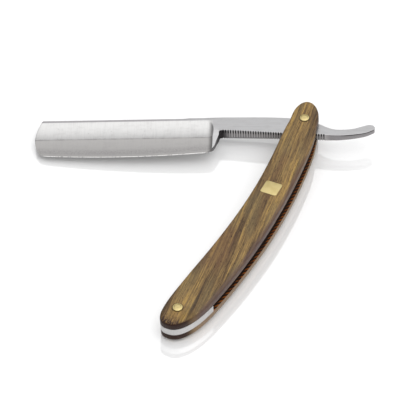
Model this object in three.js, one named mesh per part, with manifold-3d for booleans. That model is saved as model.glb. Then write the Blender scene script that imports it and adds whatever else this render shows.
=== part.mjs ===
// Straight razor: a hollow-ground steel blade that folds between two wooden scales.
//
// Millimetres, +Z up. The razor lies on its side with the blade partly open.
// X runs along the spine, the toe towards -X and the tail towards +X, and the
// cutting edge faces -Y. The pivot axis is the Z axis, and z = 0 is the flat
// underside of the pivot's lower rivet head.
import * as THREE from 'three';
import { mergeVertices } from 'three/addons/utils/BufferGeometryUtils.js';
import Module from 'manifold-3d';

const wasm = await Module();
wasm.setup();

// ---------------------------------------------------------------- blade sizes
const toeReach = 120.5;            // pivot to the toe's crest
const toeRadius = 17.7;
const toeCrestY = -5.6;
const toeCornerHeight = 0.9;       // the corner between toe and edge is muted
const toeCornerLength = 2.4;
const heelReach = 39.6;            // pivot to the back of the heel
const heelCornerRadius = 5;
const heelCornerCut = 0.9;
const heelLean = 1.4;
const throatRadius = 2.4;          // fillet between heel and shank
const spineY = 4.7;
const spineThickness = 5.2;
const spineFlatY = 3.2;            // where the flat on the spine ends
const spineChamfer = 0.25;
const bladeDepthY = -17.05;        // deepest point of the cutting edge
const edgeCrest = 84;              // that point's distance from the pivot
const edgeRadius = 430;            // the edge smiles a little
const edgeHalfThickness = 0.08;
const creaseY = -6.3;              // ridge between the two hollows
const creaseHalfThickness = 0.95;
const upperWheelRadius = 20;
const lowerWheelRadius = 70;
const shoulderSetback = 0.5;       // hollows run out this far in front of the heel
const shoulderCove = 3.2;
const stabiliserTopY = -1.65;      // the thick strip behind them thins downwards from here
const stabiliserSlope = 0.135;
const stabiliserStart = 0.1;

// ---------------------------------------------------------------- tang and tail sizes
const shankTopY = 5.05;
const shankBlend = 7;              // length over which the spine rises to the shank
const shankUnderY = -3.15;         // underside at the heel
const tangUnderY = -6.05;          // underside at the pivot
const tangShoulderReach = 7.4;     // where the top starts to fall towards the tail
const tangShoulderDrop = 0.6;
const tangTopDrop = 1.8;           // how far it has fallen at the pivot
const shankThickness = 5.0;
const tangThickness = 3.5;
const tangLand = 5.5;              // parallel stretch each side of the pivot
const tailReach = 31.2;
const tailThickness = 2.1;
const tailWaistY = -3.3;
const tailUnderY = -7;
const tailTipY = -2.6;
const jimpPitch = 1.12;
const jimpDepth = 0.45;
const jimpsPastPivot = 10;

// ---------------------------------------------------------------- handle sizes
const pinBehindToe = 4.4;          // wedge pin past the closed toe
const pivotEndReach = 11.1;        // scale past the pivot pin
const farEndReach = 9.7;           // scale past the wedge pin
const farEndLength = 22;           // length of the far end's rounding
const farEndSquareness = 2.5;      // 2 would be an ellipse
const curveRadius = 329;           // radius of the scales' centre line
const crestPastMiddle = 4.15;      // its crest, past the middle of the pins
const pivotHalfWidth = 6.35;
const shoulderSwell = 1.0;         // widening just past the pivot
const shoulderLength = 7.5;
const farSwell = 1.05;             // further widening at the wedge pin
const bellySwell = 1.15;           // extra width on the concave side, fullest at the belly's crest
const bellyCrestSetback = 24;      // crest in front of the wedge pin
const bellyRise = 61;              // its length towards the pivot
const bellyFall = 27;              // its length towards the far end
const scaleThickness = 3.4;
const scaleEdgeRound = 1.2;
const spreadStation = 35;          // where the gap between the scales is widest
const wedgeLandLength = 12.5;      // parallel stretch in front of the wedge pin
const wedgeThickness = 3.2;
const restAngle = -114.9;          // handle's direction from the pivot, degrees from +X

// ---------------------------------------------------------------- pins, washers and inlay
const pinRadius = 1.0;
const peenWidth = 0.45;            // how far the peened head stands out round the pin
const pinHeadHeight = 0.28;
const collarRim = 0.67;            // collar outside the head
const collarHeight = 0.5;
const collarChamfer = 0.16;
const washerRadius = 4.2;
const washerThickness = 0.65;
const inlayLength = 7.3;
const inlayWidth = 7.6;
const inlayCorner = 0.8;
const inlayThickness = 0.8;
const inlayStation = 46.3;         // from the pivot, along the handle
const inlayOffset = -0.5;          // from the centre line, towards the concave side
const inlayProud = 0.04;

// ---------------------------------------------------------------- fits
const runningClearance = 0.05;     // each side of the tang and round the pins
const shankClearance = 0.2;        // closed shank to scale
const glueGap = 0.05;
const seatGap = 0.03;              // under the collars
const toeClearance = 0.9;          // closed toe to wedge
const closedOffset = -4.5;         // closed blade against the line of the pins, degrees

// ---------------------------------------------------------------- derived places
const pinSpacing = toeReach + pinBehindToe;
const curveCrest = pinSpacing / 2 + crestPastMiddle;
const pivotGap = tangThickness + 2 * (washerThickness + runningClearance);
const maxSpread = Math.max(pivotGap, shankThickness + 2 * shankClearance);
const wedgeGap = wedgeThickness + 2 * glueGap;
const midZ = collarHeight + seatGap + scaleThickness + pivotGap / 2;
const pivotLand = washerRadius + 1;
const wedgeLandStart = pinSpacing - wedgeLandLength;
const bellyCrest = pinSpacing - bellyCrestSetback;
const pinHeadRadius = pinRadius + peenWidth;
const pinHole = pinRadius + runningClearance;
const roundSegments = 32;

const degrees = THREE.MathUtils.degToRad;
const smooth = (x, low, high) => THREE.MathUtils.smoothstep(x, low, high);

// ---------------------------------------------------------------- solids
function toSolid(geometry) {
  const bare = geometry.clone();
  bare.deleteAttribute('normal');
  bare.deleteAttribute('uv');
  const merged = mergeVertices(bare, 1e-5);
  return new wasm.Manifold(new wasm.Mesh({
    numProp: 3,
    vertProperties: new Float32Array(merged.attributes.position.array),
    triVerts: new Uint32Array(merged.index.array),
  }));
}

function toGeometry(solid) {
  const mesh = solid.getMesh();
  const geometry = new THREE.BufferGeometry();
  geometry.setAttribute('position', new THREE.BufferAttribute(mesh.vertProperties, 3));
  geometry.setIndex(new THREE.BufferAttribute(mesh.triVerts, 1));
  geometry.computeVertexNormals();
  return geometry;
}

function cut(body, ...tools) {
  return tools.reduce((left, tool) => left.subtract(toSolid(tool)), body);
}

// A solid of revolution standing on Z, from [radius, height] corners.
function turned(corners, segments = roundSegments) {
  const points = corners.map(([radius, height]) => new THREE.Vector2(radius, height));
  const geometry = new THREE.LatheGeometry(points, segments);
  return geometry.rotateX(Math.PI / 2);
}

// Turns every face over, for a shape that a mirroring has left inside out.
function turnOut(geometry) {
  const index = geometry.index.array;
  for (let i = 0; i < index.length; i += 3) {
    [index[i], index[i + 1]] = [index[i + 1], index[i]];
  }
  return geometry;
}

function drill(x, y, radius) {
  const bit = new THREE.CylinderGeometry(radius, radius, 60, roundSegments);
  return bit.rotateX(Math.PI / 2).translate(x, y, 0);
}

// ---------------------------------------------------------------- handle outline
// Station s runs from the pivot pin towards the wedge pin; n is across it,
// towards the handle's convex side.
const centreLine = (s) => (curveCrest ** 2 - (s - curveCrest) ** 2) / (2 * curveRadius);

function halfWidth(s) {
  if (s < 0) {
    return pivotHalfWidth * Math.sqrt(1 - (s / pivotEndReach) ** 2);
  }
  const shoulder = shoulderSwell * (1 - Math.exp(-((s / shoulderLength) ** 2)));
  const width = pivotHalfWidth + shoulder + farSwell * s / pinSpacing;
  const roundStart = pinSpacing + farEndReach - farEndLength;
  const along = Math.max(0, (s - roundStart) / farEndLength);
  return width * (1 - along ** farEndSquareness) ** (1 / farEndSquareness);
}

function belly(s) {
  const rising = smooth(s, bellyCrest - bellyRise, bellyCrest);
  return bellySwell * rising * (1 - smooth(s, bellyCrest, bellyCrest + bellyFall));
}

// Half the gap between the scales: parallel at the pivot's washers and on the
// wedge, and sprung apart between them so that the shank closes freely.
function halfGap(s) {
  const opening = smooth(s, pivotLand, spreadStation);
  const closing = smooth(s, spreadStation, wedgeLandStart);
  const opened = THREE.MathUtils.lerp(pivotGap, maxSpread, opening);
  return THREE.MathUtils.lerp(opened, wedgeGap, closing) / 2;
}

// A box of many cells, bent to the handle's outline. innerZ and outerZ give the
// two faces at a station; edgeRound rounds the outer face's rim.
function handlePlate(innerZ, outerZ, edgeRound) {
  const blunt = 0.05;
  const first = -pivotEndReach + blunt;
  const last = pinSpacing + farEndReach - blunt;
  const box = new THREE.BoxGeometry(2, 2, 2, 56, 12, 1);
  const place = box.attributes.position;
  for (let i = 0; i < place.count; i++) {
    const eased = Math.sin(place.getX(i) * Math.PI / 2);
    const s = THREE.MathUtils.mapLinear(eased, -1, 1, first, last);
    const across = Math.sin(place.getY(i) * Math.PI / 2);
    const reach = halfWidth(s) + (across < 0 ? belly(s) : 0);
    const n = across * reach;
    const rim = Math.min(edgeRound, reach);
    const overRim = Math.max(0, Math.abs(n) - (reach - rim));
    const drop = rim - Math.sqrt(Math.max(0, rim ** 2 - overRim ** 2));
    const outward = Math.sign(outerZ(s) - innerZ(s));
    const z = place.getZ(i) < 0 ? innerZ(s) : outerZ(s) - outward * drop;
    place.setXYZ(i, s, centreLine(s) + n, z);
  }
  return box;
}

// ---------------------------------------------------------------- scales and wedge
function inlayOutline(grow) {
  const length = inlayLength / 2 + grow;
  const width = inlayWidth / 2 + grow;
  const corner = inlayCorner + grow;
  const shape = new THREE.Shape();
  shape.absarc(length - corner, width - corner, corner, 0, Math.PI / 2);
  shape.absarc(corner - length, width - corner, corner, Math.PI / 2, Math.PI);
  shape.absarc(corner - length, corner - width, corner, Math.PI, Math.PI * 1.5);
  shape.absarc(length - corner, corner - width, corner, Math.PI * 1.5, Math.PI * 2);
  return shape;
}

function inlayBlock(grow, depth) {
  return new THREE.ExtrudeGeometry(inlayOutline(grow), {
    depth, bevelEnabled: false, curveSegments: 6,
  });
}

const outerFace = (s) => midZ + halfGap(s) + scaleThickness;
const inlaySlope = (outerFace(inlayStation + 1) - outerFace(inlayStation - 1)) / 2;

// Sets a piece drawn round the origin into the front scale's face, sunk by depth.
function placeInlay(geometry, depth) {
  geometry.rotateY(-Math.atan(inlaySlope));
  const z = outerFace(inlayStation) - depth;
  return geometry.translate(inlayStation, centreLine(inlayStation) + inlayOffset, z);
}

function frontScale() {
  const plate = handlePlate((s) => midZ + halfGap(s), outerFace, scaleEdgeRound);
  const recess = placeInlay(inlayBlock(runningClearance, 3), inlayThickness + glueGap);
  return toGeometry(cut(toSolid(plate), drill(0, 0, pinHole), drill(pinSpacing, 0, pinHole), recess));
}

function backScale() {
  const inner = (s) => midZ - halfGap(s);
  const outer = (s) => midZ - halfGap(s) - scaleThickness;
  const plate = turnOut(handlePlate(inner, outer, scaleEdgeRound));
  return toGeometry(cut(toSolid(plate), drill(0, 0, pinHole), drill(pinSpacing, 0, pinHole)));
}

// The wedge fills the far end and is scooped to the closed toe's curve.
function wedgeBlock() {
  const half = wedgeThickness / 2;
  const plate = handlePlate(() => midZ - half, () => midZ + half, 0);
  const turn = degrees(closedOffset);
  const crest = toeReach - toeRadius;
  const scoopX = crest * Math.cos(turn) + toeCrestY * Math.sin(turn);
  const scoopY = crest * Math.sin(turn) - toeCrestY * Math.cos(turn);
  const scoopRadius = toeRadius + toeClearance;
  const scoop = new THREE.CylinderGeometry(scoopRadius, scoopRadius, 60, 96);
  scoop.rotateX(Math.PI / 2).translate(scoopX, scoopY, midZ);
  const keepOut = new THREE.BoxGeometry(scoopX + 40, 80, 60);
  keepOut.translate((scoopX - 40) / 2, 0, midZ);
  return toGeometry(cut(toSolid(plate), scoop, keepOut, drill(pinSpacing, 0, pinHole)));
}

// ---------------------------------------------------------------- pins, collars and washers
// A pin between two outer faces, peened into a low head at each end.
function peenedPin(lowZ, highZ) {
  return turned([
    [0, lowZ], [pinHeadRadius, lowZ], [pinHeadRadius, lowZ + pinHeadHeight],
    [pinRadius, lowZ + pinHeadHeight], [pinRadius, highZ - pinHeadHeight],
    [pinHeadRadius, highZ - pinHeadHeight], [pinHeadRadius, highZ], [0, highZ],
  ]);
}

// A collar standing on z = 0, recessed for the pin's head.
function collar() {
  const rim = pinHeadRadius + collarRim;
  const recess = pinHeadRadius + runningClearance;
  const recessFloor = collarHeight - pinHeadHeight - seatGap;
  return turned([
    [pinHole, 0], [rim, 0], [rim, collarHeight - collarChamfer],
    [rim - collarChamfer, collarHeight], [recess, collarHeight],
    [recess, recessFloor], [pinHole, recessFloor], [pinHole, 0],
  ]);
}

function washer() {
  return turned([
    [pinHole, 0], [washerRadius, 0], [washerRadius, washerThickness],
    [pinHole, washerThickness], [pinHole, 0],
  ]);
}

// ---------------------------------------------------------------- blade
const toeSteps = 14;
const edgeSteps = 12;
const edgeY = (x) => bladeDepthY + (x + edgeCrest) ** 2 / (2 * edgeRadius);

function undersideY(x) {
  const slope = (tangUnderY - shankUnderY) / heelReach;
  return tangUnderY + slope * x;
}

// The blade's outline seen along the pivot: toe, edge, heel, notched underside,
// tail and back along the top to the spine.
function bladeOutline() {
  const shape = new THREE.Shape();
  const toeX = (y) => toeRadius - toeReach - Math.sqrt(toeRadius ** 2 - (y - toeCrestY) ** 2);
  const toeCornerY = edgeY(-toeReach) + toeCornerHeight;
  shape.moveTo(toeX(spineY), spineY);
  for (let step = 1; step <= toeSteps; step++) {
    const y = THREE.MathUtils.lerp(spineY, toeCornerY, step / toeSteps);
    shape.lineTo(toeX(y), y);
  }
  const edgeStart = toeX(toeCornerY) + toeCornerLength;
  const edgeEnd = -heelReach - heelCornerRadius;
  for (let step = 0; step <= edgeSteps; step++) {
    const x = THREE.MathUtils.lerp(edgeStart, edgeEnd, step / edgeSteps);
    shape.lineTo(x, edgeY(x));
  }
  heel(shape, edgeY(edgeEnd));
  jimps(shape, -heelReach + throatRadius + jimpPitch / 2, jimpsPastPivot);
  tail(shape);
  shape.splineThru([
    [0, shankTopY - tangTopDrop], [-tangShoulderReach, shankTopY - tangShoulderDrop],
    [-tangShoulderReach * 2, shankTopY - 0.1], [-heelReach * 0.7, shankTopY],
    [-heelReach + throatRadius, shankTopY - 0.05], [-heelReach - shankBlend, spineY],
  ].map(([x, y]) => new THREE.Vector2(x, y)));
  shape.closePath();
  return shape;
}

// Rounded heel, its back and the fillet up to the shank's underside.
function heel(shape, heelY) {
  const throatX = -heelReach + throatRadius;
  const corner = heelCornerCut;
  shape.quadraticCurveTo(-heelReach - corner, heelY + corner, -heelReach, heelY + heelCornerRadius);
  shape.lineTo(-heelReach + heelLean, shankUnderY - throatRadius);
  shape.quadraticCurveTo(-heelReach + heelLean, undersideY(throatX), throatX, undersideY(throatX));
}

// The tail sweeps down past the pivot and up to a rounded tip. Each point is a
// share of the tail's reach and a height.
function tail(shape) {
  shape.splineThru([
    [0.5, tailUnderY], [0.7, tailUnderY + 0.6], [0.87, tailUnderY + 1.75],
    [0.965, tailTipY - 1.1], [1, tailTipY + 0.3], [0.975, tailTipY + 2.1], [0.92, tailTipY + 2.45],
    [0.82, tailTipY + 1.4], [0.68, tailWaistY + 0.5], [0.54, tailWaistY], [0.42, tailWaistY + 0.2],
    [0.32, tailWaistY + 1.45], [0.2, tailWaistY + 3.7],
  ].map(([share, y]) => new THREE.Vector2(share * tailReach, y)));
}

// Cuts a row of small square-bottomed notches into the underside, from startX to endX.
function jimps(shape, startX, endX) {
  const count = Math.floor((endX - startX) / jimpPitch);
  for (let notch = 0; notch < count; notch++) {
    const x = startX + notch * jimpPitch;
    const y = undersideY(x);
    const wall = jimpPitch / 8;
    const floor = jimpPitch * 0.3;
    shape.lineTo(x, y);
    shape.lineTo(x + wall, y + jimpDepth);
    shape.lineTo(x + wall + floor, y + jimpDepth);
    shape.lineTo(x + wall + floor + wall, y);
  }
}

// A grinding wheel whose axis is parallel to the spine, touching the front side at
// two [y, halfThickness] points, with a coved corner where it runs out at endX.
function grindingWheel(radius, high, low, endX, cove) {
  const [y1, z1] = high;
  const [y2, z2] = low;
  const chord = Math.hypot(y1 - y2, z1 - z2);
  const rise = Math.sqrt(radius ** 2 - (chord / 2) ** 2);
  const centreY = (y1 + y2) / 2 - rise * (z1 - z2) / chord;
  const centreZ = (z1 + z2) / 2 + rise * (y1 - y2) / chord;
  const corners = [new THREE.Vector2(0, -toeReach - 10), new THREE.Vector2(radius, -toeReach - 10)];
  for (let step = 0; step <= 5; step++) {
    const turn = step / 5 * Math.PI / 2;
    const along = endX - cove + cove * Math.sin(turn);
    corners.push(new THREE.Vector2(radius - cove + cove * Math.cos(turn), along));
  }
  corners.push(new THREE.Vector2(0, endX));
  const wheel = new THREE.LatheGeometry(corners, 150);
  wheel.rotateZ(-Math.PI / 2);
  return wheel.translate(0, centreY, centreZ);
}

// A slab whose underside passes through two [x, halfThickness] points on the tang.
function taperCutter([x1, z1], [x2, z2]) {
  const length = Math.hypot(x2 - x1, z2 - z1);
  const slab = new THREE.BoxGeometry(length, 40, 10);
  slab.translate(length / 2, 0, 5);
  slab.rotateY(-Math.atan2(z2 - z1, x2 - x1));
  return slab.translate(x1, 0, z1);
}

function bladeTools() {
  const lap = 0.2;
  const half = spineThickness / 2;
  const ends = [-heelReach - shoulderSetback, shoulderCove];
  const upper = grindingWheel(upperWheelRadius, [spineFlatY, half], [creaseY, creaseHalfThickness], ...ends);
  const lower = grindingWheel(
    lowerWheelRadius, [creaseY, creaseHalfThickness], [bladeDepthY, edgeHalfThickness], ...ends);
  const shank = taperCutter([-heelReach + 1, shankThickness / 2], [-tangLand, tangThickness / 2]);
  const land = taperCutter([-tangLand - lap, tangThickness / 2], [tangLand + lap, tangThickness / 2]);
  const tail = taperCutter([tangLand, tangThickness / 2], [tailReach + 2, tailThickness / 2]);
  const stabiliser = new THREE.BoxGeometry(8, 40, 10);
  stabiliser.translate(-2.5, -20, 5).rotateX(stabiliserSlope);
  stabiliser.translate(-heelReach, stabiliserTopY, half - stabiliserStart);
  const bar = 4;
  const chamfer = new THREE.BoxGeometry(2 * (toeReach - heelReach), bar, bar).rotateX(Math.PI / 4);
  chamfer.translate(-toeReach, spineY, half - spineChamfer + bar / Math.SQRT2);
  return [upper, lower, shank, land, tail, stabiliser, chamfer];
}

function bladeGeometry() {
  const blank = new THREE.ExtrudeGeometry(bladeOutline(), {
    depth: spineThickness, bevelEnabled: false, curveSegments: 5,
  });
  blank.translate(0, 0, -spineThickness / 2);
  const front = cut(toSolid(blank), drill(0, 0, pinHole), ...bladeTools());
  const back = toSolid(turnOut(toGeometry(front).scale(1, 1, -1)));
  return toGeometry(front.intersect(back)).translate(0, 0, midZ);
}

// ---------------------------------------------------------------- materials
const steel = new THREE.MeshStandardMaterial({ color: 0xc9cacb, roughness: 0.28, metalness: 1 });
const wood = new THREE.MeshStandardMaterial({ color: 0x78624a, roughness: 0.5, metalness: 0 });
const brass = new THREE.MeshStandardMaterial({ color: 0xd8c27a, roughness: 0.3, metalness: 1 });
const aluminium = new THREE.MeshStandardMaterial({ color: 0xcfcfd0, roughness: 0.4, metalness: 1 });

function part(name, geometry, material, x = 0, y = 0, z = 0) {
  const mesh = new THREE.Mesh(geometry, material);
  mesh.name = name;
  mesh.position.set(x, y, z);
  return mesh;
}

// ---------------------------------------------------------------- assembly
const razor = new THREE.Group();
const handle = new THREE.Group();
handle.rotation.z = degrees(restAngle);
razor.add(handle);

razor.add(part('blade', bladeGeometry(), steel));
handle.add(part('front_scale', frontScale(), wood));
handle.add(part('back_scale', backScale(), wood));
handle.add(part('wedge', wedgeBlock(), aluminium));
const plate = placeInlay(inlayBlock(0, inlayThickness), inlayThickness - inlayProud);
handle.add(part('inlay_plate', plate, brass));

for (const [name, s] of [['pivot', 0], ['wedge', pinSpacing]]) {
  const faceZ = halfGap(s) + scaleThickness + seatGap;
  const reach = faceZ + collarHeight;
  handle.add(part(`${name}_pin`, peenedPin(midZ - reach, midZ + reach), brass, s));
  handle.add(part(`${name}_front_collar`, collar(), brass, s, 0, midZ + faceZ));
  const back = part(`${name}_back_collar`, collar(), brass, s, 0, midZ - faceZ);
  back.rotation.x = Math.PI;
  handle.add(back);
}

for (const [name, side] of [['front', 1], ['back', -1]]) {
  const low = side * (tangThickness / 2 + runningClearance) + (side < 0 ? -washerThickness : 0);
  handle.add(part(`pivot_${name}_washer`, washer(), brass, 0, 0, midZ + low));
}

export default razor;
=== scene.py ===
import math

import bmesh
import bpy
from mathutils import Matrix, Vector


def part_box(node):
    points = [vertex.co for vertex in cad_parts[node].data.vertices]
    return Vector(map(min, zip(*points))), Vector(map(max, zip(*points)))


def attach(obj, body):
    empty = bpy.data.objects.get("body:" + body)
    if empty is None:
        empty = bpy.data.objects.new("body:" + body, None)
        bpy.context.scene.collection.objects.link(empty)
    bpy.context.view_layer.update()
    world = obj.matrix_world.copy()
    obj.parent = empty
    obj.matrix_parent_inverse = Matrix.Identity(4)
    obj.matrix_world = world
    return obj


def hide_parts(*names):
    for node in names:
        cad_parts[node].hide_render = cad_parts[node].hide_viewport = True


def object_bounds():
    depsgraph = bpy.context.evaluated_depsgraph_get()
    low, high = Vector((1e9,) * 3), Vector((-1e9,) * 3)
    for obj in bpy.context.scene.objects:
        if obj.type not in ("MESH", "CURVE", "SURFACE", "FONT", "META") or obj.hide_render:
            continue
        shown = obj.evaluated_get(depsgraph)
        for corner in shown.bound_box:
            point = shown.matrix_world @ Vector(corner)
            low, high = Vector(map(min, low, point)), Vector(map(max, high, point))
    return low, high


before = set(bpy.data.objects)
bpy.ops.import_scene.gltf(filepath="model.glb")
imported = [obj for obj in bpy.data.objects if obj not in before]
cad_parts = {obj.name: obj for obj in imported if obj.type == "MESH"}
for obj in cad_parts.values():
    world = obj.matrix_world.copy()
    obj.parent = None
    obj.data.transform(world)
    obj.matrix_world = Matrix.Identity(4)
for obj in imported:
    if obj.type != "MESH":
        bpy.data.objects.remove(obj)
cadLow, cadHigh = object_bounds()

mm = 0.001    # pieces are modelled in millimetres and scaled to metres at the end
smoothLimit = 30    # degrees between faces that are still shaded as one surface


# places and sizes worked out from the frame, in millimetres

def centreOf(node):
    low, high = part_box(node)
    return (low + high) / 2 / mm


def sizeOf(node):
    low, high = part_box(node)
    return (high - low) / mm


pivotCentre = centreOf("pivot_pin")
wedgePinCentre = centreOf("wedge_pin")
pinLine = (wedgePinCentre - pivotCentre).to_2d()
pinSpacing = pinLine.length
handleTurn = math.atan2(pinLine.y, pinLine.x)
midZ = pivotCentre.z
wedgeThickness = sizeOf("wedge").z
toeReach = -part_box("blade")[0].x / mm
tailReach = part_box("blade")[1].x / mm

handlePlace = Matrix.Rotation(handleTurn, 4, "Z")


def lerp(a, b, share):
    return a + (b - a) * share


def smoothstep(x, low, high):
    share = min(max((x - low) / (high - low), 0), 1)
    return share * share * (3 - 2 * share)


def heightThrough(points, x):    # smooth curve through points that run along X
    last = len(points) - 1
    k = 0
    while k < last - 1 and x > points[k + 1][0]:
        k += 1

    def slope(i):
        before, after = points[max(i - 1, 0)], points[min(i + 1, last)]
        return (after[1] - before[1]) / (after[0] - before[0])

    (x0, y0), (x1, y1) = points[k], points[k + 1]
    width = x1 - x0
    t = (x - x0) / width
    ends = (2 * t ** 3 - 3 * t ** 2 + 1) * y0 + (3 * t ** 2 - 2 * t ** 3) * y1
    return ends + width * ((t ** 3 - 2 * t ** 2 + t) * slope(k) + (t ** 3 - t ** 2) * slope(k + 1))


def bend(start, corner, end, share):    # curve from start to end, pulled towards corner
    return (1 - share) ** 2 * start + 2 * share * (1 - share) * corner + share ** 2 * end


def shadeByAngle(bm):    # smooth everywhere but over sharp edges
    limit = math.radians(smoothLimit)
    for face in bm.faces:
        face.smooth = True
    for edge in bm.edges:
        edge.smooth = len(edge.link_faces) == 2 and edge.calc_face_angle(0) < limit


def makeObject(name, bm):
    mesh = bpy.data.meshes.new(name)
    bm.to_mesh(mesh)
    bm.free()
    piece = bpy.data.objects.new(name, mesh)
    bpy.context.scene.collection.objects.link(piece)
    return piece


def cutAway(piece, *cutters):    # booleans, applied one after another
    for cutter in cutters:
        boolean = piece.modifiers.new("cut", "BOOLEAN")
        boolean.operation = "DIFFERENCE"
        boolean.solver = "EXACT"
        boolean.object = cutter
        depsgraph = bpy.context.evaluated_depsgraph_get()
        result = bpy.data.meshes.new_from_object(piece.evaluated_get(depsgraph))
        piece.modifiers.clear()
        piece.data = result
        bpy.data.objects.remove(cutter)
    return piece


def finishPiece(piece, node, body, material, place=Matrix(), keepSharp=None):
    bm = bmesh.new()
    bm.from_mesh(piece.data)
    bmesh.ops.remove_doubles(bm, verts=bm.verts, dist=1e-4)
    bmesh.ops.recalc_face_normals(bm, faces=bm.faces)
    shadeByAngle(bm)
    if keepSharp:
        for edge in bm.edges:
            if keepSharp(edge):
                edge.smooth = False
    bmesh.ops.transform(bm, matrix=Matrix.Scale(mm, 4) @ place, verts=bm.verts)
    bm.to_mesh(piece.data)
    bm.free()
    piece.data.materials.clear()
    piece.data.materials.append(material)
    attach(piece, body)
    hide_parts(node)
    print(f"{piece.name}: {sum(len(p.vertices) - 2 for p in piece.data.polygons)} triangles")


def rod(name, radius, x, y, low, high, segments=64):
    bm = bmesh.new()
    place = Matrix.Translation((x, y, (low + high) / 2))
    bmesh.ops.create_cone(bm, cap_ends=True, segments=segments, radius1=radius, radius2=radius,
                          depth=high - low, matrix=place)
    return makeObject(name, bm)


# the handle has its own axes: s from the pivot to the wedge pin, n across, n > 0 convex
handleForm = {
    "pivotEndReach": 11.1,
    "farEndReach": 9.7,
    "farEndLength": 22,
    "farEndSquareness": 2.5,
    "curveRadius": 329,
    "crestPastMiddle": 4.15,
    "pivotHalfWidth": 6.35,
    "shoulderSwell": 1.0,
    "shoulderLength": 7.5,
    "farSwell": 1.05,
    "bellySwell": 1.15,
    "bellyCrestSetback": 24,
    "bellyRise": 61,
    "bellyFall": 27,
    "thickness": 3.4,
    "pivotGap": 4.9,
    "widestGap": 5.4,
    "widestStation": 35,
    "pivotLand": 5.2,
    "wedgeLand": 12.5,
    "wedgeGlue": 0.05,
    "outlineSteps": 320,
    "stationStep": 2.5,
    "faceRound": 1.2,
    "faceRoundSteps": 6,
    "innerRound": 0.18,
    "innerRoundSteps": 2,
}


def centreLine(s):
    crest = pinSpacing / 2 + handleForm["crestPastMiddle"]
    return (crest ** 2 - (s - crest) ** 2) / (2 * handleForm["curveRadius"])


def halfWidth(s):
    form = handleForm
    if s < 0:
        return form["pivotHalfWidth"] * math.sqrt(max(0, 1 - (s / form["pivotEndReach"]) ** 2))
    shoulder = form["shoulderSwell"] * (1 - math.exp(-(s / form["shoulderLength"]) ** 2))
    width = form["pivotHalfWidth"] + shoulder + form["farSwell"] * s / pinSpacing
    roundStart = pinSpacing + form["farEndReach"] - form["farEndLength"]
    along = min(max(0, (s - roundStart) / form["farEndLength"]), 1)
    return width * (1 - along ** form["farEndSquareness"]) ** (1 / form["farEndSquareness"])


def belly(s):    # extra width on the concave side
    form = handleForm
    crest = pinSpacing - form["bellyCrestSetback"]
    rising = smoothstep(s, crest - form["bellyRise"], crest)
    return form["bellySwell"] * rising * (1 - smoothstep(s, crest, crest + form["bellyFall"]))


def halfGap(s):
    form = handleForm
    wedgeGap = wedgeThickness + 2 * form["wedgeGlue"]
    opening = smoothstep(s, form["pivotLand"], form["widestStation"])
    closing = smoothstep(s, form["widestStation"], pinSpacing - form["wedgeLand"])
    return lerp(lerp(form["pivotGap"], form["widestGap"], opening), wedgeGap, closing) / 2


def handleSlab(thickness):    # a slab of the handle's outline, standing on z = 0
    bm = bmesh.new()
    bmesh.ops.create_circle(bm, cap_ends=True, radius=1, segments=handleForm["outlineSteps"])
    first = -handleForm["pivotEndReach"]
    last = pinSpacing + handleForm["farEndReach"]
    for vert in bm.verts:
        s = lerp(first, last, (vert.co.x + 1) / 2)
        across = halfWidth(s) if vert.co.y > 0 else -halfWidth(s) - belly(s)
        if abs(vert.co.y) < 1e-6:
            across = 0
        vert.co = (s, centreLine(s) + across, 0)
    grown = bmesh.ops.extrude_face_region(bm, geom=bm.faces[:])["geom"]
    top = [item for item in grown if isinstance(item, bmesh.types.BMVert)]
    bmesh.ops.translate(bm, vec=(0, 0, thickness), verts=top)
    bmesh.ops.recalc_face_normals(bm, faces=bm.faces)
    return bm


def rimEdges(bm, z):
    return [edge for edge in bm.edges if all(abs(v.co.z - z) < 1e-5 for v in edge.verts)
            and edge.calc_face_angle(0) > 1]


def roundRim(bm, z, radius, steps):
    bmesh.ops.bevel(bm, geom=rimEdges(bm, z), affect="EDGES", offset_type="OFFSET", offset=radius,
                    segments=steps, profile=0.5, material=-1, clamp_overlap=True)


def makeScale(name, side):
    form = handleForm
    bm = handleSlab(form["thickness"])
    roundRim(bm, form["thickness"], form["faceRound"], form["faceRoundSteps"])
    roundRim(bm, 0, form["innerRound"], form["innerRoundSteps"])
    count = int((pinSpacing + form["pivotEndReach"]) / form["stationStep"])
    for step in range(1, count):
        s = step * form["stationStep"] - form["pivotEndReach"]
        bmesh.ops.bisect_plane(bm, geom=bm.verts[:] + bm.edges[:] + bm.faces[:],
                               plane_co=(s, 0, 0), plane_no=(1, 0, 0))
    for vert in bm.verts:
        vert.co.z = midZ + side * (halfGap(vert.co.x) + vert.co.z)
    bmesh.ops.recalc_face_normals(bm, faces=bm.faces)
    return makeObject(name, bm)


inlayForm = {
    "length": 7.3,
    "width": 7.6,
    "corner": 0.8,
    "thickness": 0.8,
    "station": 46.3,
    "offset": -0.5,
    "proud": 0.04,
    "clearance": 0.05,
    "recessDepth": 3,
    "edgeRound": 0.07,
    "edgeSteps": 3,
    "cornerSteps": 8,
}


def inlayBlock(name, grow, depth, edgeRound):
    form = inlayForm
    bm = bmesh.new()
    bmesh.ops.create_cube(bm, size=1)
    size = (form["length"] + 2 * grow, form["width"] + 2 * grow, depth)
    bmesh.ops.scale(bm, vec=size, verts=bm.verts)
    bmesh.ops.translate(bm, vec=(0, 0, depth / 2), verts=bm.verts)
    upright = [e for e in bm.edges if abs(e.verts[0].co.z - e.verts[1].co.z) > depth / 2]
    bmesh.ops.bevel(bm, geom=upright, affect="EDGES", offset_type="OFFSET",
                    offset=form["corner"] + grow, segments=form["cornerSteps"], profile=0.5,
                    material=-1)
    if edgeRound:
        roundRim(bm, depth, edgeRound, form["edgeSteps"])
    bmesh.ops.transform(bm, matrix=inlayPlace(), verts=bm.verts)
    return makeObject(name, bm)


def outerFace(s):
    return midZ + halfGap(s) + handleForm["thickness"]


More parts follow.
